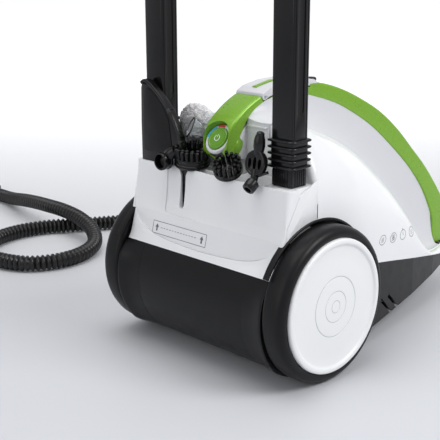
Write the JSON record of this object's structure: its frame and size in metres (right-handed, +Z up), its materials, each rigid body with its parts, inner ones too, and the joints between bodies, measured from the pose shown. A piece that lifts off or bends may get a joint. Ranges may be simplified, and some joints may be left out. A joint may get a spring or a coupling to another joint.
{
  "type": "canister steam cleaner",
  "caption": "Canister steam cleaner on wheels with an arched handle, steam regulator, filler lid, lift-out accessory bucket, extension tubes and a hose with a steam gun.",
  "frame": {"origin": "on the floor under the centre of the machine, the hose and gun left aside", "axes": "-Y towards the nose, +Y towards the accessory bucket, +X towards the left wheel as seen from behind, +Z up"},
  "size_m": [1.316, 0.7532, 0.7],
  "materials": {
    "white_shell": "gloss",
    "black_shell": "satin",
    "black_gloss": "satin",
    "green_plastic": "satin",
    "grey_plastic": "satin",
    "dark_grey_plastic": "satin",
    "tyre_rubber": "matte",
    "bristle": "matte",
    "clear_plastic": "clear",
    "cotton": "terry",
    "steel": "brushed",
    "boiler_alloy": "cast",
    "board": "matte",
    "pipe_silicone": "matte",
    "hose_rubber": "satin"
  },
  "bodies": {
    "machine": {"lower_casing": "black_shell", "wheel_arch_left": "black_shell", "wheel_arch_right": "black_shell", "body_shell_left": "white_shell", "body_shell_right": "white_shell", "rear_panel": "white_shell", "recess_cover": "grey_plastic", "handle_band": "green_plastic", "dial_ring": "grey_plastic", "lid_pin": "steel", "water_tank": "clear_plastic", "boiler_lower": "boiler_alloy", "boiler_upper": "boiler_alloy", "heating_element": "steel", "thermostat": "black_shell", "pump": "steel", "solenoid_valve": "steel", "circuit_board": "board", "water_pipe": "pipe_silicone", "steam_pipe": "pipe_silicone", "outlet_socket": "black_shell", "cord_gland": "black_shell", "rear_axle": "steel", "axle_clips": "steel", "hose_plug": "black_gloss", "steam_hose": "hose_rubber", "gun_shell_left": "black_gloss", "gun_shell_right": "black_gloss", "gun_pin": "steel", "gun_outlet": "black_gloss"},
    "bucket": {"accessory_bucket": "white_shell", "squeegee_head": "black_gloss", "elbow_nozzle": "black_gloss", "round_brush": "black_gloss", "round_brush_tufts": "bristle", "small_brush": "black_gloss", "small_brush_tufts": "bristle", "detail_nozzle": "black_gloss", "filling_cup": "clear_plastic", "cotton_bonnet": "cotton"},
    "tube_left": {"tube_left": "black_gloss", "tube_collar_left": "black_gloss"},
    "tube_right": {"tube_right": "black_gloss", "tube_collar_right": "black_gloss"},
    "latch_left": {"tube_latch_left": "grey_plastic"},
    "latch_right": {"tube_latch_right": "grey_plastic"},
    "knob": {"regulator_knob": "dark_grey_plastic"},
    "power_button": {"power_button": "green_plastic"},
    "lid": {"filler_lid": "grey_plastic", "lid_trim": "green_plastic"},
    "release_button": {"release_button": "black_gloss"},
    "wheel_left": {"tyre_left": "tyre_rubber", "disc_left": "white_shell"},
    "wheel_right": {"tyre_right": "tyre_rubber", "disc_right": "white_shell"},
    "caster": {"caster_fork": "black_shell", "caster_pin": "steel"},
    "caster_wheel": {"caster_wheel": "tyre_rubber"},
    "trigger": {"gun_trigger": "green_plastic"},
    "lock": {"gun_lock": "grey_plastic"}
  },
  "joints": [
    {"name": "wheel_left_spin", "type": "hinge", "parent": "machine", "child": "wheel_left", "pos_m": [0.15, 0.17, 0.1], "axis": [1, 0, 0], "continuous": true},
    {"name": "wheel_right_spin", "type": "hinge", "parent": "machine", "child": "wheel_right", "pos_m": [-0.15, 0.17, 0.1], "axis": [1, 0, 0], "continuous": true},
    {"name": "caster_swivel", "type": "hinge", "parent": "machine", "child": "caster", "pos_m": [0, -0.16, 0.05], "axis": [0, 0, 1], "continuous": true},
    {"name": "caster_spin", "type": "hinge", "parent": "caster", "child": "caster_wheel", "pos_m": [0, -0.146, 0.017], "axis": [1, 0, 0], "continuous": true},
    {"name": "knob_turn", "type": "hinge", "parent": "machine", "child": "knob", "pos_m": [0, 0.197, 0.285], "axis": [0, 0.8192, 0.5736], "range_deg": [-270, 0]},
    {"name": "power_press", "type": "slide", "parent": "machine", "child": "power_button", "axis": [0, -0.8192, -0.5736], "range_m": [0, 0.0025], "stiffness_N_per_m": 400},
    {"name": "lid_open", "type": "hinge", "parent": "machine", "child": "lid", "pos_m": [0, 0.145, 0.341], "axis": [-1, 0, 0], "range_deg": [0, 95]},
    {"name": "release_press", "type": "slide", "parent": "machine", "child": "release_button", "axis": [0, 0, -1], "range_m": [0, 0.003], "stiffness_N_per_m": 400},
    {"name": "bucket_lift", "type": "slide", "parent": "machine", "child": "bucket", "axis": [0, 0.5, 0.866], "range_m": [0, 0.12]},
    {"name": "tube_left_lift", "type": "slide", "parent": "bucket", "child": "tube_left", "axis": [0, 0, 1], "range_m": [0, 0.06]},
    {"name": "tube_right_lift", "type": "slide", "parent": "bucket", "child": "tube_right", "axis": [0, 0, 1], "range_m": [0, 0.06]},
    {"name": "latch_left_press", "type": "slide", "parent": "tube_left", "child": "latch_left", "axis": [0, -1, 0], "range_m": [0, 0.0015], "stiffness_N_per_m": 300},
    {"name": "latch_right_press", "type": "slide", "parent": "tube_right", "child": "latch_right", "axis": [0, -1, 0], "range_m": [0, 0.0015], "stiffness_N_per_m": 300},
    {"name": "trigger_squeeze", "type": "hinge", "parent": "machine", "child": "trigger", "pos_m": [1.076, -0.0365, 0.015], "axis": [0, 0, -1], "range_deg": [0, 6], "stiffness_Nm_per_rad": 0.5},
    {"name": "lock_slide", "type": "slide", "parent": "machine", "child": "lock", "axis": [1, 0, 0], "range_m": [0, 0.006]}
  ]
}
